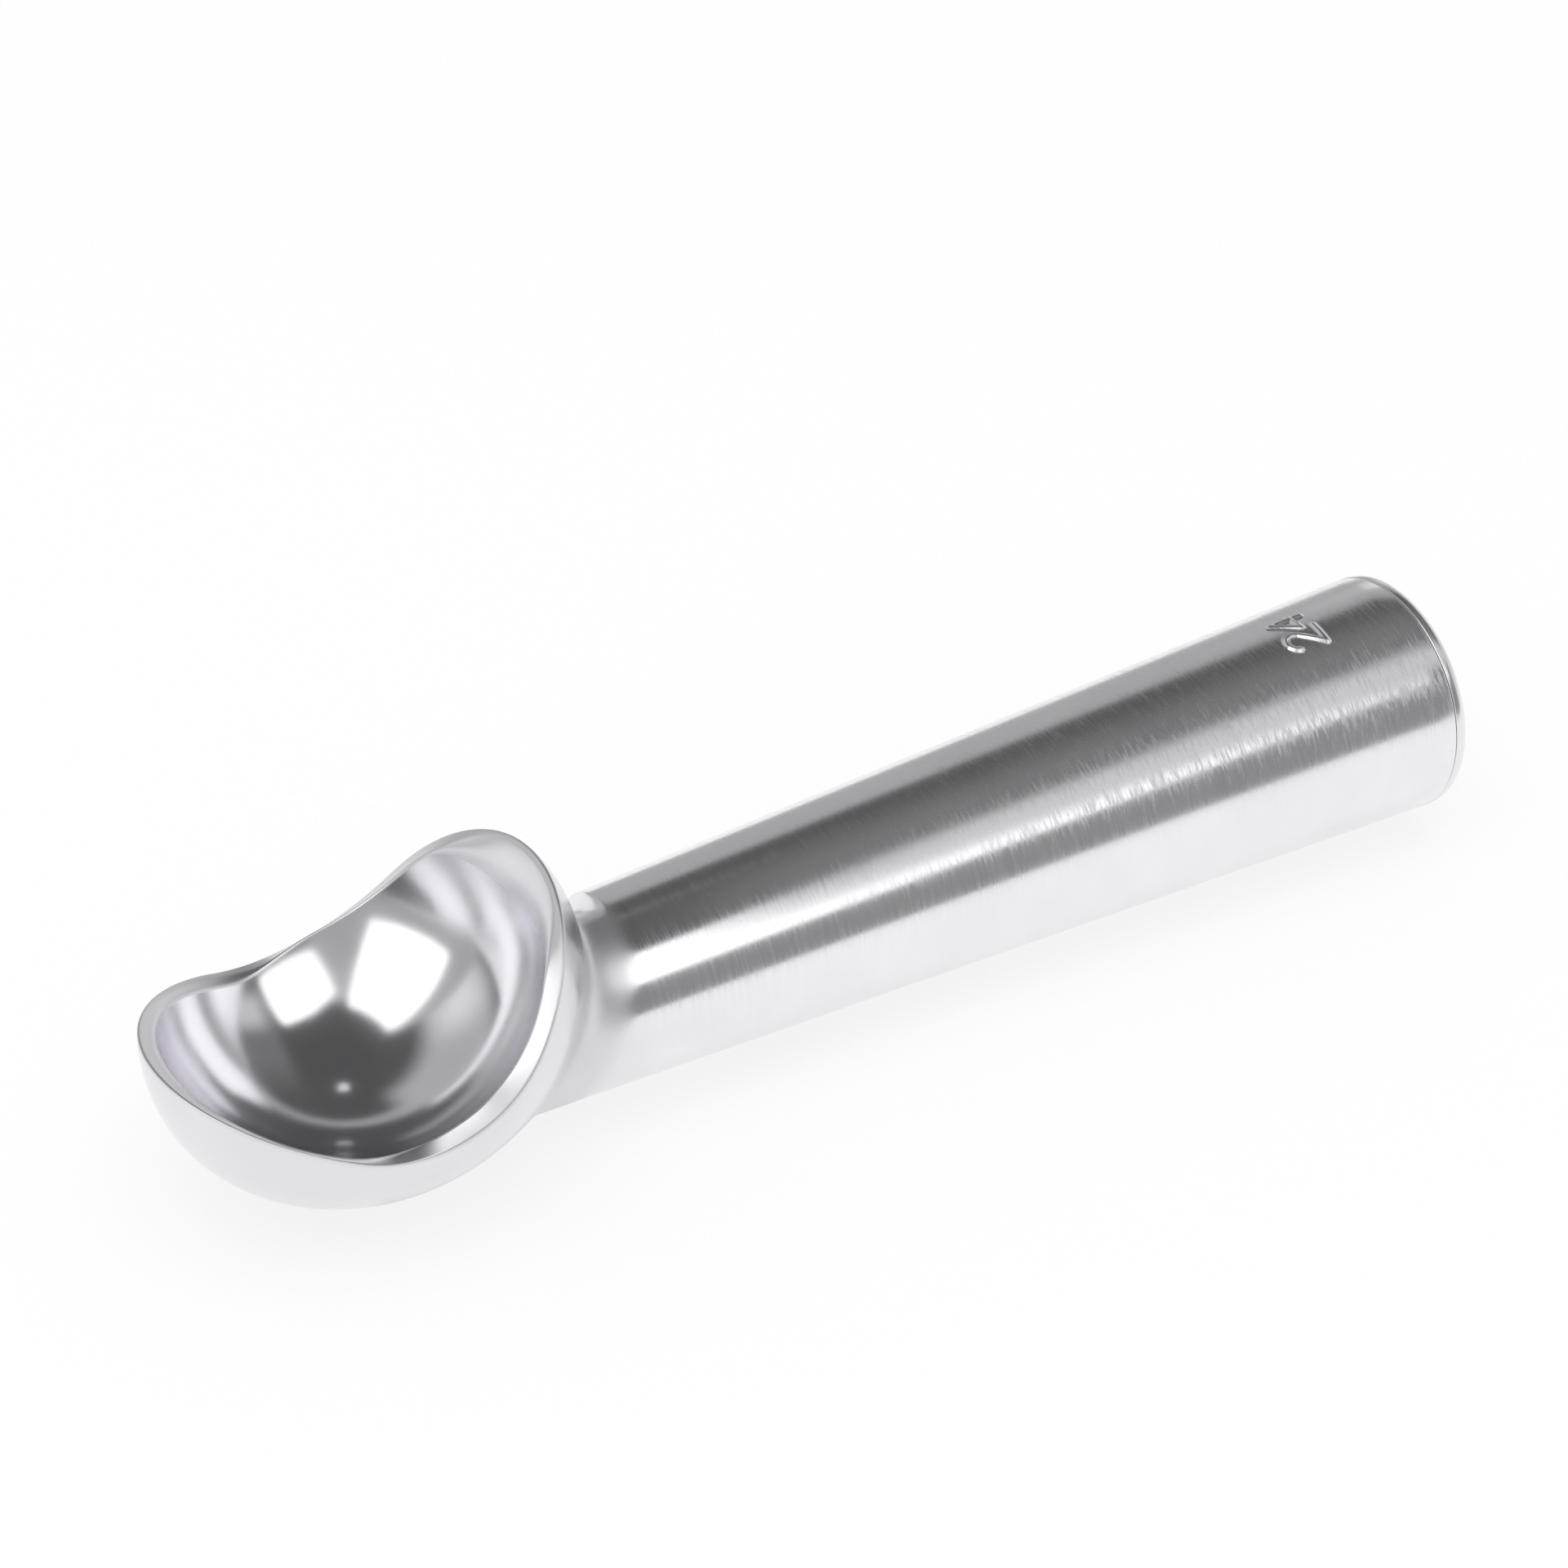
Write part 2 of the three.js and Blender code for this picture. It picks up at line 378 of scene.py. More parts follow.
def chamber_profile(inset, mouth_x):
    """Points (x, radius) of the chamber from its domed front to its mouth, taken in by an inset."""
    front_x = CHAMBER_FRONT_WALL - HANDLE_LENGTH
    radius = handle_radius(front_x) - HANDLE_WALL - inset
    turn = np.linspace(np.pi, np.pi / 2, DOME_RINGS)
    seat_x = -SPIGOT_LENGTH - SEAT_RUNOUT
    dome = [(front_x + inset + radius * (1 + np.cos(a)), radius * np.sin(a)) for a in turn]
    return dome + [
        (seat_x + inset, handle_radius(seat_x) - HANDLE_WALL - inset),
        (seat_x + inset + SEAT_SLOPE, SEAT_RADIUS - inset),
        (mouth_x, SEAT_RADIUS - inset),
    ]


def number_strokes():
    turn = np.radians(np.linspace(TWO_BEND_FROM, TWO_BEND_TO, BEND_POINTS))
    bend = np.array(TWO_BEND_CENTRE) + TWO_BEND_RADIUS * np.stack([np.cos(turn), np.sin(turn)], -1)
    return [np.concatenate([bend, TWO_FOOT]), np.array(FOUR)]


def number_height(x, angle):
    """Height of the raised number over the handle, a rounded bead along each stroke."""
    place = np.stack([(angle - TOP_ANGLE) * handle_radius(x), NUMBER_X - x], -1)
    nearest = np.full(x.shape, np.inf)
    for stroke in number_strokes():
        for a, b in zip(stroke[:-1], stroke[1:]):
            share = np.clip((place - a) @ (b - a) / ((b - a) @ (b - a)), 0, 1)
            gap = np.linalg.norm(place - a - share[..., None] * (b - a), axis=-1)
            nearest = np.minimum(nearest, gap)
    return NUMBER_HEIGHT * (1 - np.minimum(nearest / NUMBER_STROKE, 1) ** 2) ** 2


def handle_rings():
    number_end = NUMBER_X - TWO_BEND_CENTRE[1] - TWO_BEND_RADIUS - 2 * NUMBER_STROKE
    number_start = NUMBER_X + 2 * NUMBER_STROKE
    plain = np.arange(-BUTT_EDGE, number_start, -HANDLE_STEP)
    fine = np.arange(number_start, number_end, -NUMBER_STEP)
    rest_count = int((number_end - NECK_START) / HANDLE_STEP)
    rest = np.linspace(number_end, NECK_START, rest_count, endpoint=False)
    x, angle = np.meshgrid(np.concatenate([plain, fine, rest]), ANGLES, indexing="ij")
    return around(x, handle_radius(x) + number_height(x, angle), angle)


def neck_and_bowl_rings(band):
    """The outside from the handle's front, past the joint, to where the rim's band starts."""
    share = np.linspace(0, 1, NECK_SAMPLES)
    x = NECK_START + (CREASE_X - NECK_START) * share[:, None]
    on_handle = around(x, handle_radius(x), ANGLES)
    end = (band - BOWL_CENTRE) / BOWL_HALF
    on_bowl = BOWL_CENTRE + great_arcs(CREASE, end, np.linspace(0, 1, BOWL_SAMPLES)) * BOWL_HALF
    line = settle(np.concatenate([on_handle, on_bowl[1:]]), rounds=8)
    steps = np.linalg.norm(np.diff(line, axis=0), axis=2)
    length = np.concatenate([np.zeros((1, len(ANGLES))), np.cumsum(steps, axis=0)])
    even = np.linspace(0, 1, NECK_RINGS)[:, None] * length[-1]
    rings = np.empty((NECK_RINGS, len(ANGLES), 3))
    for i in range(len(ANGLES)):
        for c in range(3):
            rings[:, i, c] = np.interp(even[:, i], length[:, i], line[:, i, c])
    return settle(rings, rounds=4)


def rim_and_cup_rings():
    """Rings of the wall under the rim, of the rim's two edges and of the cup, and the cup's bottom."""
    outer, inner, along = rim_loops()
    hump, tip = past(outer[:, 0], HUMP_X), past(outer[:, 0], TIP_X)
    end = np.maximum(hump, tip)
    inner_share = (INNER_SHARE_SIDE + (INNER_SHARE_END - INNER_SHARE_SIDE) * end)[:, None]
    roll = ROLL_SIDE + (ROLL_HUMP - ROLL_SIDE) * hump + (ROLL_TIP - ROLL_SIDE) * tip
    depths = np.linspace(RIM_BAND, OUTER_DROP, BAND_RINGS)[:, None]
    band = down_the_wall(outer, along, BOWL_CENTRE, BOWL_HALF, depths)
    lip = down_the_wall(inner, along, CUP_CENTRE, CUP_HALF, roll)
    edge_out = rounded(band[-1], outer, outer + OUTER_SHARE * (inner - outer), OUTER_EDGE_RINGS)
    reach = roll * (1 - TUCK * end)
    corner = lip - reach[:, None] * wall_slope(lip, along, CUP_CENTRE, CUP_HALF)
    edge_in = rounded(inner - inner_share * (inner - outer), corner, lip, INNER_EDGE_RINGS)
    start = (lip - CUP_CENTRE) / CUP_HALF
    bottom = unit(np.array([CUP_BOTTOM_LEAN, 0.0, -1.0]))
    arcs = great_arcs(start, bottom + 0 * start, np.linspace(0, 1, CUP_RINGS))
    cup = CUP_CENTRE + arcs[1:-1] * CUP_HALF
    return band, edge_out, edge_in, cup, CUP_CENTRE + bottom * CUP_HALF


def body_rings():
    """Rings from the chamber's front, out over the butt, along the outside and down into the cup.

    With them come how soft the finish is at each point, and the skin's first and last point.
    """
    chamber = chamber_profile(0, 0)
    inside = [around(x, r, ANGLES) for x, r in chamber]
    turn = np.linspace(0, np.pi / 2, SMALL_EDGE_RINGS)
    edge_x = -BUTT_EDGE * (1 - np.cos(turn))
    edge_radius = BUTT_RADIUS - BUTT_EDGE * (1 - np.sin(turn))
    butt_edge = [around(x, r, ANGLES) for x, r in zip(edge_x, edge_radius)]
    band, edge_out, edge_in, cup, cup_bottom = rim_and_cup_rings()
    outside = np.concatenate([
        inside[1:], butt_edge, handle_rings()[1:], neck_and_bowl_rings(band[0]), band[1:-1]])
    rings = np.concatenate([outside, edge_out, edge_in, cup])
    soft = np.concatenate([
        at_joint(outside), np.full(edge_out.shape[:2], EDGE_SOFTNESS),
        np.full(edge_in.shape[:2], LAND_SOFTNESS), np.zeros(cup.shape[:2])])
    return rings, soft, chamber[0][0] * AXIS, cup_bottom


# Meshes

def rest_angle():
    """Turn about Y at which the bowl's underside and the butt's edge reach the same height."""
    rise = BUTT_RADIUS + BOWL_RISE
    a = BOWL_CENTRE[0] ** 2 - BOWL_HALF[0] ** 2
    b = BOWL_CENTRE[0] * rise
    c = rise ** 2 - BOWL_HALF[2] ** 2
    return np.arctan((b + np.sqrt(b ** 2 - a * c)) / a)


def seat_in_frame():
    """Places the handle's axis where the frame has it: the seal ring is centred in its groove."""
    low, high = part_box("seal_ring")
    tip = Matrix.Rotation(rest_angle(), 4, "Y")
    from_groove = Matrix.Translation((GROOVE_FROM_FLANGE * MM, 0, 0))
    return Matrix.Translation((low + high) / 2) @ tip @ from_groove


SEAT = seat_in_frame()


def seated(points):
    """Points about the handle's axis, moved to their place in the frame."""
    return points @ np.array(SEAT.to_3x3()).T + np.array(SEAT.translation) / MM


def make_object(name, points, faces, material):
    mesh = bpy.data.meshes.new(name)
    mesh.from_pydata((points * MM).tolist(), [], faces)
    mesh.update()
    mesh.materials.append(material)
    mesh.polygons.foreach_set("use_smooth", [True] * len(mesh.polygons))
    thing = bpy.data.objects.new(name, mesh)
    bpy.context.scene.collection.objects.link(thing)
    return thing


def point_values(thing, name, values):
    place = thing.data.attributes.new(name, "FLOAT", "POINT")
    place.data.foreach_set("value", values.ravel().astype(np.float32))


def loft(name, rings, material, first=None, last=None):
    """A closed skin over rings of points, between two end points or round and round without them."""
    count, size = rings.shape[:2]
    index = np.arange(count * size).reshape(count, size)
    ends = index if first is None else index[:-1]
    after = np.roll(index, -1, axis=0)[:len(ends)]
    corners = [ends, np.roll(ends, -1, 1), np.roll(after, -1, 1), after]
    faces = np.stack(corners, -1).reshape(-1, 4).tolist()
    points = rings.reshape(-1, 3)
    if first is not None:
        points = np.concatenate([points, [first, last]])
        start, end = count * size, count * size + 1
        faces += [[start, b, a] for a, b in zip(index[0], np.roll(index[0], -1))]
        faces += [[end, a, b] for a, b in zip(index[-1], np.roll(index[-1], -1))]
    piece = make_object(name, seated(points), faces, material)
    piece.data.set_sharp_from_angle(angle=SHARP_ANGLE)
    return piece


def turned_rings(profile):
    angle = np.linspace(0, 2 * np.pi, TURNED_SEGMENTS, endpoint=False)
    return np.stack([around(x, r, angle) for x, r in profile])


def arc_points(x, radius, size, start, end, steps):
    """Points (x, radius) on an arc of a profile, from a start to an end angle in degrees."""
    turn = np.radians(np.linspace(start, end, steps))
    return [(x + size * np.cos(a), radius + size * np.sin(a)) for a in turn]


def make_body(material):
    rings, soft, first, last = body_rings()
    body = loft("scoop_body_cast", rings, material, first, last)
    point_values(body, "soft", np.concatenate([soft.ravel(), [0, 0]]))
    return body


def make_end_cap(material):
    groove_floor = SPIGOT_RADIUS - 2 * SEAL_SECTION_RADIUS - CLEARANCE
    groove_half = SEAL_SECTION_RADIUS + CLEARANCE
    end_x = CLEARANCE + FLANGE_THICKNESS
    profile = [
        (-SPIGOT_LENGTH, SPIGOT_RADIUS - SPIGOT_CHAMFER),
        (-SPIGOT_LENGTH + SPIGOT_CHAMFER, SPIGOT_RADIUS),
        (-GROOVE_FROM_FLANGE - groove_half, SPIGOT_RADIUS),
        (-GROOVE_FROM_FLANGE - groove_half, groove_floor),
        (-GROOVE_FROM_FLANGE + groove_half, groove_floor),
        (-GROOVE_FROM_FLANGE + groove_half, SPIGOT_RADIUS),
        (SEAM_GAP, SPIGOT_RADIUS),
    ]
    profile += arc_points(
        SEAM_GAP + FLANGE_SEAM_EDGE, BUTT_RADIUS - FLANGE_SEAM_EDGE,
        FLANGE_SEAM_EDGE, 180, 90, SMALL_EDGE_RINGS)
    profile += arc_points(
        end_x - FLANGE_EDGE_RADIUS, BUTT_RADIUS - FLANGE_EDGE_RADIUS,
        FLANGE_EDGE_RADIUS, 90, 0, FLANGE_EDGE_RINGS)
    profile += [(end_x, r) for r in CAP_FACE_RADII]
    rings = turned_rings(profile[::-1])
    return loft("end_cap_turned", rings, material, end_x * AXIS, -SPIGOT_LENGTH * AXIS)


def make_seal_ring(material):
    radius = SPIGOT_RADIUS - SEAL_SECTION_RADIUS
    profile = arc_points(
        -GROOVE_FROM_FLANGE, radius, SEAL_SECTION_RADIUS, 0, 360, SEAL_RINGS + 1)[:-1]
    return loft("seal_ring_rubber", turned_rings(profile), material)


def make_fluid(material):
    profile = chamber_profile(CLEARANCE, -SPIGOT_LENGTH - CLEARANCE)
    rings = turned_rings(profile[:0:-1])
    angle = rest_angle()
    level = FLUID_LEVEL / np.cos(angle) + np.tan(angle) * (rings[..., 0] + HANDLE_LENGTH / 2)
    rings[..., 2] = np.minimum(rings[..., 2], level)
    return loft("fluid_fill", rings, material, profile[-1][0] * AXIS, profile[0][0] * AXIS)


# Materials

class Surface:
    """A node material with one shader, and short calls for the nodes that feed it.

    Its place is the point in the handle's own frame, in metres.
    """

    def __init__(self, name):
        self.material = bpy.data.materials.new(name)
        self.material.use_nodes = True
        self.nodes = self.material.node_tree.nodes
        self.links = self.material.node_tree.links
        self.shader = self.nodes["Principled BSDF"]
        place = self.nodes.new("ShaderNodeMapping")
        place.vector_type = "TEXTURE"
        place.inputs["Location"].default_value = SEAT.translation
        place.inputs["Rotation"].default_value = SEAT.to_euler()
        self.links.new(self.nodes.new("ShaderNodeTexCoord").outputs["Object"], place.inputs["Vector"])
        self.place = place.outputs["Vector"]

    def set(self, **values):
        for name, value in values.items():
            self.shader.inputs[name.replace("_", " ")].default_value = value

    def noise(self, spots_per_mm, detail=3.0, vector=None):
        """Noise with so many spots to the millimetre along X, Y and Z."""
        stretch = self.nodes.new("ShaderNodeMapping")
        stretch.inputs["Scale"].default_value = [spots / MM for spots in spots_per_mm]
        self.links.new(vector or self.place, stretch.inputs["Vector"])
        texture = self.nodes.new("ShaderNodeTexNoise")
        texture.inputs["Scale"].default_value = 1.0
        texture.inputs["Detail"].default_value = detail
        self.links.new(stretch.outputs["Vector"], texture.inputs["Vector"])
        return texture.outputs["Fac"]

    def ranged(self, value, low, high, to_low, to_high):
        node = self.nodes.new("ShaderNodeMapRange")
        node.inputs["From Min"].default_value = low
        node.inputs["From Max"].default_value = high
        node.inputs["To Min"].default_value = to_low
        node.inputs["To Max"].default_value = to_high
        self.links.new(value, node.inputs["Value"])
        return node.outputs["Result"]

    def axis(self, name):
        """One coordinate of the place: X, Y or Z."""
        split = self.nodes.new("ShaderNodeSeparateXYZ")
        self.links.new(self.place, split.inputs["Vector"])
        return split.outputs[name]

    def across(self, name, span, to_low, to_high):
        """A value that changes along X, Y or Z, over a span in millimetres."""
        return self.ranged(self.axis(name), span[0] * MM, span[1] * MM, to_low, to_high)

    def math(self, operation, a, b):
        node = self.nodes.new("ShaderNodeMath")
        node.operation = operation
        for socket, value in zip(node.inputs, (a, b)):
            if isinstance(value, (int, float)):
                socket.default_value = value
            else:
                self.links.new(value, socket)
        return node.outputs["Value"]

    def tinted(self, value, dark, light):
        node = self.nodes.new("ShaderNodeValToRGB")
        node.color_ramp.elements[0].color = (*dark, 1)
        node.color_ramp.elements[1].color = (*light, 1)
        self.links.new(value, node.inputs["Fac"])
        return node.outputs["Color"]

    def attribute(self, name):
        node = self.nodes.new("ShaderNodeAttribute")
        node.attribute_name = name
        return node.outputs["Fac"]

    def bump(self, height, depth_mm, strength=1.0, under=None):
        node = self.nodes.new("ShaderNodeBump")
        node.inputs["Strength"].default_value = strength
        node.inputs["Distance"].default_value = depth_mm * MM
        self.links.new(height, node.inputs["Height"])
        if under is not None:
            self.links.new(under, node.inputs["Normal"])
        return node.outputs["Normal"]

    def feed(self, name, output):
        self.links.new(output, self.shader.inputs[name])


# Where the cast metal's finish and the bowl's painted shade change, in millimetres, and what is left
# of its marks elsewhere
BOWL_FINISH_AND_PAINTED_SHADE_X = (-116.0, -128.0)
RIM_FINISH_Z = (6.0, 22.0)
WORN_X = (-116.0, -50.0)
WORN_Y = (-9.0, -2.0)
WORN_Z = (6.5, 10.5)
LEAST_BRUSHING = 0.1
LEAST_WEAR = 0.3

# Spans of a noise's values, and the roughness that they give
NOISE_MIDDLE = (0.3, 0.7)
SCUFF_NOISE = (0.46, 0.68)
BRUSHED_ROUGHNESS = (0.14, 0.24)
POLISHED_ROUGHNESS = (0.13, 0.17)
TURNED_ROUGHNESS = (0.16, 0.26)
RUBBER_ROUGHNESS = (0.5, 0.75)
FLUID_ROUGHNESS = (0.02, 0.06)
SOFT_ROUGHNESS = (0.1, 0.42)
RIM_ROUGHNESS = 0.1
SCUFF_ROUGHNESS = 0.25

# Shades, colours and refraction
PATCH_SHADES = (0.28, 0.72)
# Painted shade: how much darker the bowl's colour is made, standing in for the shadowed cup and floor
# that it reflects
BOWL_PAINTED_SHADE = 0.4
CAST_DARK = (0.765, 0.758, 0.785)
CAST_LIGHT = (0.98, 0.97, 0.99)
TURNED_DARK = (0.82, 0.815, 0.835)
TURNED_LIGHT = (0.88, 0.875, 0.895)
RUBBER_DARK = (0.022, 0.022, 0.024)
RUBBER_LIGHT = (0.04, 0.04, 0.042)
FLUID_DARK = (0.68, 0.8, 0.84)
FLUID_LIGHT = (0.78, 0.86, 0.88)
FLUID_IOR = 1.36


def cast_aluminium():
    """Polished in the bowl, brushed round the handle, and scuffed on its upper near side; the bowl's
    colour is darkened as painted shade.
    """
    look = Surface("cast_aluminium")
    look.set(Metallic=1.0)
    streaks = look.noise((5.0, 0.22, 0.22), detail=4.0)
    scuffs = look.noise((2.5, 0.45, 0.45), detail=5.0)
    dents = look.noise((1.3, 0.8, 0.8), detail=4.0)
    ripple = look.noise((0.45, 0.45, 0.45), detail=2.0)
    patches = look.noise((0.1, 0.1, 0.1), detail=2.0)

    # This mask sets both the bowl's polish and the painted shade that darkens the bowl's colour
    in_bowl = look.across("X", BOWL_FINISH_AND_PAINTED_SHADE_X, 0.0, 1.0)
    handled = look.across("Z", WORN_Z, LEAST_BRUSHING, 1.0)
    worn = look.math("MULTIPLY", look.across("X", WORN_X, 0.0, SCUFF_ROUGHNESS), handled)
    worn = look.math("MULTIPLY", worn, look.across("Y", WORN_Y, 1.0, LEAST_WEAR))

    brushed = look.ranged(streaks, *NOISE_MIDDLE, *BRUSHED_ROUGHNESS)
    polished = look.ranged(patches, *NOISE_MIDDLE, *POLISHED_ROUGHNESS)
    polished = look.math("ADD", polished, look.across("Z", RIM_FINISH_Z, 0.0, RIM_ROUGHNESS))
    less = look.math("MULTIPLY", look.math("SUBTRACT", brushed, polished), in_bowl)
    finish = look.math("SUBTRACT", brushed, less)
    scuffed = look.math("MULTIPLY", look.ranged(scuffs, *SCUFF_NOISE, 0.0, 1.0), worn)
    finish = look.math("ADD", finish, scuffed)
    softened = look.ranged(look.attribute("soft"), 0.0, 1.0, *SOFT_ROUGHNESS)
    look.feed("Roughness", look.math("MAXIMUM", finish, softened))

    # Random patches of tone, with the bowl painted darker as painted shade for the shadowed cup and
    # floor that it reflects
    tone_and_painted_shade = look.ranged(patches, 0.0, 1.0, *PATCH_SHADES)
    tone_and_painted_shade = look.math("SUBTRACT", tone_and_painted_shade, look.math("MULTIPLY", in_bowl, BOWL_PAINTED_SHADE))
    look.feed("Base Color", look.tinted(tone_and_painted_shade, CAST_DARK, CAST_LIGHT))

    normal = look.bump(look.math("MULTIPLY", streaks, handled), depth_mm=0.0045, strength=0.5)
    normal = look.bump(look.math("MULTIPLY", dents, worn), depth_mm=0.04, under=normal)
    look.feed("Normal", look.bump(ripple, depth_mm=0.008, strength=0.5, under=normal))
    return look.material


def turned_aluminium():
    """Fine grooves round the axis, on the cap's side and on its face."""
    look = Surface("turned_aluminium")
    look.set(Metallic=1.0)
    across = look.nodes.new("ShaderNodeCombineXYZ")
    look.links.new(look.axis("Y"), across.inputs["Y"])
    look.links.new(look.axis("Z"), across.inputs["Z"])
    radius = look.nodes.new("ShaderNodeVectorMath")
    radius.operation = "LENGTH"
    look.links.new(across.outputs["Vector"], radius.inputs[0])
    turned = look.nodes.new("ShaderNodeCombineXYZ")
    look.links.new(look.axis("X"), turned.inputs["X"])
    look.links.new(radius.outputs["Value"], turned.inputs["Y"])
    grooves = look.noise((6.0, 6.0, 1.0), vector=turned.outputs["Vector"])
    look.feed("Roughness", look.ranged(grooves, *NOISE_MIDDLE, *TURNED_ROUGHNESS))
    look.feed("Base Color", look.tinted(grooves, TURNED_DARK, TURNED_LIGHT))
    look.feed("Normal", look.bump(grooves, depth_mm=0.004, strength=0.5))
    return look.material


def seal_rubber():
    look = Surface("seal_rubber")
    grain = look.noise((4.0, 4.0, 4.0))
    look.feed("Base Color", look.tinted(grain, RUBBER_DARK, RUBBER_LIGHT))
    look.feed("Roughness", look.ranged(grain, *NOISE_MIDDLE, *RUBBER_ROUGHNESS))
    look.feed("Normal", look.bump(grain, depth_mm=0.02, strength=0.4))
    return look.material


def heat_fluid():
    look = Surface("heat_fluid")
    look.set(IOR=FLUID_IOR, Transmission_Weight=1.0)
    drift = look.noise((0.08, 0.08, 0.08), detail=2.0)
    look.feed("Base Color", look.tinted(drift, FLUID_DARK, FLUID_LIGHT))
    look.feed("Roughness", look.ranged(drift, *NOISE_MIDDLE, *FLUID_ROUGHNESS))
    return look.material


# Pieces on the frame

def place_piece(piece, node):
    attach(piece, "root")
    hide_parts(node)


place_piece(make_body(cast_aluminium()), "scoop_body")
place_piece(make_end_cap(turned_aluminium()), "end_cap")
place_piece(make_seal_ring(seal_rubber()), "seal_ring")
place_piece(make_fluid(heat_fluid()), "heat_transfer_fluid")

# Studio
FLOOR_SIZE = 12000.0
FLOOR_COLOUR = (0.93, 0.93, 0.935)
FLOOR_ROUGHNESS = 0.9
FLOOR_GLOW = 0.8
BOWL_PLACE = (-65.0, 0.0, 25.0)
SOFTBOX_DISTANCE = 4000.0
SKY_GRID = (49, 97)
SOFTBOX_GRID = (49, 49)
STRIP_GRID = (65, 97)
WORLD_LEVEL = 0.72
BACKGROUND_LEVEL = 1.0
LAMP_SIZE = 1400.0
LAMP_PLACE = (-300.0, -300.0, 1600.0)
LAMP_POWER = 12.0
MIRROR_BOUNCES = 12


def direction(azimuth, elevation):
    turn, rise = np.broadcast_arrays(np.radians(azimuth), np.radians(elevation))
    return np.stack([np.sin(turn) * np.cos(rise), -np.cos(turn) * np.cos(rise), np.sin(rise)], -1)


def background_rays(nodes, links):
    """One for rays that see the background straight, in a mirror or through glass."""
    path = nodes.new("ShaderNodeLightPath")
    seen = path.outputs["Is Camera Ray"]
    for name in ("Is Glossy Ray", "Is Transmission Ray"):
        either = nodes.new("ShaderNodeMath")
        either.operation = "MAXIMUM"
        links.new(seen, either.inputs[0])
        links.new(path.outputs[name], either.inputs[1])
        seen = either.outputs["Value"]
    return seen


def make_floor():
    look = Surface("pale_floor")
    look.set(Base_Color=(*FLOOR_COLOUR, 1), Roughness=FLOOR_ROUGHNESS, Specular_IOR_Level=0.0)
    glow = look.nodes.new("ShaderNodeEmission")
    glow.inputs["Strength"].default_value = BACKGROUND_LEVEL
    mix = look.nodes.new("ShaderNodeMixShader")
    share = look.math("MULTIPLY", background_rays(look.nodes, look.links), FLOOR_GLOW)
    look.links.new(share, mix.inputs["Fac"])
    look.links.new(look.shader.outputs["BSDF"], mix.inputs[1])
    look.links.new(glow.outputs["Emission"], mix.inputs[2])
    look.links.new(mix.outputs["Shader"], look.nodes["Material Output"].inputs["Surface"])
    half = FLOOR_SIZE / 2
    corners = np.array([(-half, -half, 0), (half, -half, 0), (half, half, 0), (-half, half, 0)])
    make_object("floor", corners, [(0, 1, 2, 3)], look.material)


def card_material(name, level):
    material = bpy.data.materials.new(name)
    material.use_nodes = True
    material.cycles.emission_sampling = "NONE"
    nodes, links = material.node_tree.nodes, material.node_tree.links
    nodes.clear()
    cover = nodes.new("ShaderNodeAttribute")
    cover.attribute_name = "cover"
    glow = nodes.new("ShaderNodeEmission")
    glow.inputs["Strength"].default_value = level
    mix = nodes.new("ShaderNodeMixShader")
    out = nodes.new("ShaderNodeOutputMaterial")
    links.new(cover.outputs["Fac"], mix.inputs["Fac"])
    links.new(nodes.new("ShaderNodeBsdfTransparent").outputs["BSDF"], mix.inputs[1])
    links.new(glow.outputs["Emission"], mix.inputs[2])
    links.new(mix.outputs["Shader"], out.inputs["Surface"])
    return material


def make_card(name, points, cover, level):
    """A curved card for reflections, unseen by the camera: a grid of points and how solid each is."""
    rows, columns = cover.shape
    index = np.arange(rows * columns).reshape(rows, columns)
    corners = [index[:-1, :-1], index[:-1, 1:], index[1:, 1:], index[1:, :-1]]
    faces = np.stack(corners, -1).reshape(-1, 4).tolist()
    card = make_object(name, points.reshape(-1, 3), faces, card_material(name, level))
    point_values(card, "cover", cover)
    card.visible_camera = False
    card.visible_diffuse = False
    card.visible_shadow = False


def card_grid(up, across, counts):
    """Two grids of values, one for each of the spans up and across a card."""
    return np.meshgrid(np.linspace(*up, counts[0]), np.linspace(*across, counts[1]), indexing="ij")


def edge_cover(place, fade):
    """Solid in the middle of a row of places and fading to nothing at its ends."""
    gap = np.minimum(place - place.min(), place.max() - place)
    return smoothstep(gap / fade) if fade else np.ones_like(gap)


def sky_card(name, azimuths, elevations, distance, level, fade):
    """A part of a ball about the bowl."""
    elevation, azimuth = card_grid(elevations, azimuths, SKY_GRID)
    points = np.array(BOWL_PLACE) + distance * direction(azimuth, elevation)
    make_card(name, points, edge_cover(azimuth, fade) * edge_cover(elevation, fade), level)


def softbox(name, low_azimuths, high_azimuths, elevations, sag, level, fade):
    """A lit panel that leans over the scoop: wider at its top, where the corners drop."""
    up, across = card_grid((0, 1), (0, 1), SOFTBOX_GRID)
    left, right = (a + (b - a) * up for a, b in zip(low_azimuths, high_azimuths))
    low, high = elevations
    azimuth = left + (right - left) * across
    elevation = low + (high - sag * (2 * across - 1) ** 2 - low) * up
    points = np.array(BOWL_PLACE) + SOFTBOX_DISTANCE * direction(azimuth, elevation)
    cover = edge_cover((right - left) * across, fade) * edge_cover((high - low) * up, fade)
    make_card(name, points, cover, level)


def strip_card(name, turns, reach, distance, level, fade, end_fade):
    """A card along the handle, at turns about its axis, in the handle's own frame."""
    turn, x = card_grid(turns, reach, STRIP_GRID)
    points = seated(around(x, distance, np.radians(turn)))
    make_card(name, points, edge_cover(turn, fade) * edge_cover(x, end_fade), level)


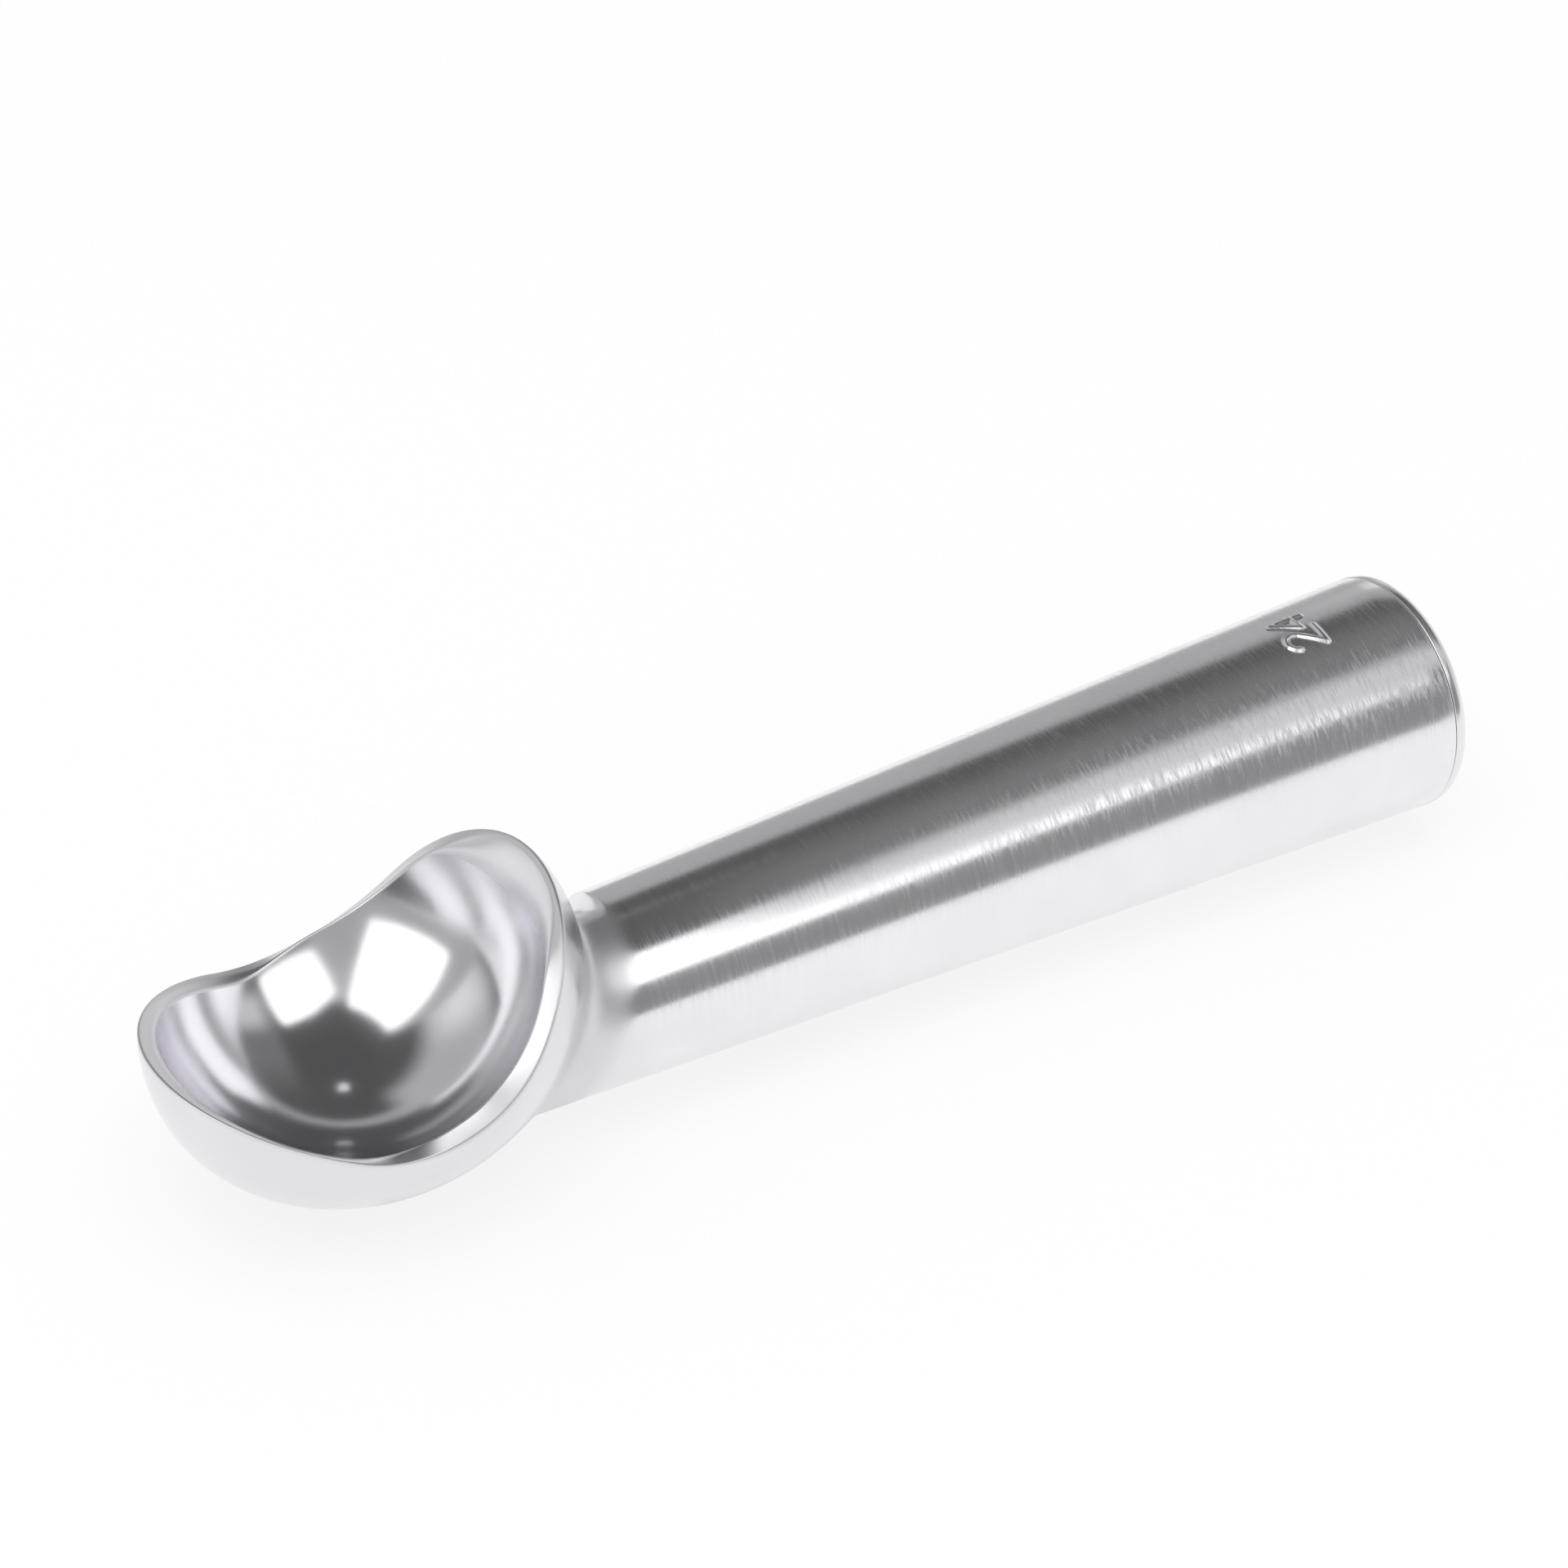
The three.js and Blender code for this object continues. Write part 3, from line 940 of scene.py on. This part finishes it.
def make_cards():
    """The room and its lights, as the metal shows them. A nearer card covers those behind it."""
    sky_card("room", (-180, 180), (-1.0, 90), distance=5000, level=0.1, fade=0)
    sky_card("back_wall", (95, 205), (-3, 37), distance=4900, level=0.42, fade=6)
    sky_card("left_wall", (-190, -90), (-3, 56), distance=4800, level=0.5, fade=16)
    sky_card("left_glow", (-145, -90), (-3, 52), distance=4700, level=0.85, fade=25)
    sky_card("front_left_wall", (-115, 0), (-3, 66), distance=4600, level=0.45, fade=5)
    sky_card("front_right_wall", (-8, 66), (-3, 32), distance=4500, level=0.27, fade=6)
    sky_card("right_wall", (46, 118), (-3, 31), distance=4400, level=0.75, fade=6)
    sky_card("low_wall", (108, 147), (-3, 20), distance=4300, level=0.85, fade=4)
    softbox("left_softbox", (-97, -44), (-110, -31), (13, 70), sag=2, level=1.6, fade=3)
    softbox("right_softbox", (-7.5, 35), (-21.5, 53), (29, 67), sag=8, level=1.6, fade=4)
    sky_card("spot_lamp", (146, 157), (57.5, 65), distance=3900, level=1.1, fade=2)
    strip_card("handle_glow", (30, 128), (-60, 170), distance=180, level=0.2, fade=40, end_fade=30)
    strip_card("handle_streak", (41, 77), (-50, 320), distance=175, level=0.66, fade=14, end_fade=45)
    strip_card("handle_back", (171, 186), (-110, 190), distance=160, level=0.42, fade=2, end_fade=20)


def make_lamp():
    data = bpy.data.lights.new("overhead_lamp", "AREA")
    data.size = LAMP_SIZE * MM
    data.energy = LAMP_POWER
    lamp = bpy.data.objects.new("overhead_lamp", data)
    lamp.location = Vector(LAMP_PLACE) * MM
    lamp.rotation_euler = (-lamp.location).to_track_quat("-Z", "Y").to_euler()
    lamp.visible_glossy = False
    bpy.context.scene.collection.objects.link(lamp)


def make_world():
    """Plain light for the floor, and white where the camera, a mirror or glass looks past it all."""
    world = bpy.data.worlds.new("studio")
    bpy.context.scene.world = world
    world.use_nodes = True
    nodes, links = world.node_tree.nodes, world.node_tree.links
    nodes.clear()
    mix = nodes.new("ShaderNodeMixShader")
    links.new(background_rays(nodes, links), mix.inputs["Fac"])
    for slot, level in ((1, WORLD_LEVEL), (2, BACKGROUND_LEVEL)):
        light = nodes.new("ShaderNodeBackground")
        light.inputs["Color"].default_value = (1, 1, 1, 1)
        light.inputs["Strength"].default_value = level
        links.new(light.outputs["Background"], mix.inputs[slot])
    out = nodes.new("ShaderNodeOutputWorld")
    links.new(mix.outputs["Shader"], out.inputs["Surface"])


# Camera at the photograph's angle: it looks at a point on the floor, and leans a little
CAMERA_AIM = (19.87, 39.37, 0.0)
CAMERA_AZIMUTH = -33.181
CAMERA_ELEVATION = 37.151
CAMERA_ROLL = 2.399
CAMERA_DISTANCE = 606.16
CAMERA_LENS = 103.77
CAMERA_CLIP = (10.0, 100000.0)
SENSOR_WIDTH = 36.0


def make_camera():
    data = bpy.data.cameras.new("camera")
    data.lens = CAMERA_LENS
    data.sensor_width = SENSOR_WIDTH
    data.sensor_fit = "HORIZONTAL"
    data.clip_start = CAMERA_CLIP[0] * MM
    data.clip_end = CAMERA_CLIP[1] * MM
    camera = bpy.data.objects.new("camera", data)
    back = Vector(direction(CAMERA_AZIMUTH, CAMERA_ELEVATION))
    place = Vector(CAMERA_AIM) * MM + back * CAMERA_DISTANCE * MM
    level = (-back).to_track_quat("-Z", "Y").to_matrix().to_4x4()
    roll = Matrix.Rotation(np.radians(CAMERA_ROLL), 4, "Z")
    camera.matrix_world = Matrix.Translation(place) @ level @ roll
    bpy.context.scene.collection.objects.link(camera)
    bpy.context.scene.camera = camera


make_floor()
make_cards()
make_lamp()
make_world()
make_camera()
bpy.context.scene.view_settings.view_transform = "Standard"
bpy.context.scene.cycles.max_bounces = MIRROR_BOUNCES
bpy.context.scene.cycles.glossy_bounces = MIRROR_BOUNCES
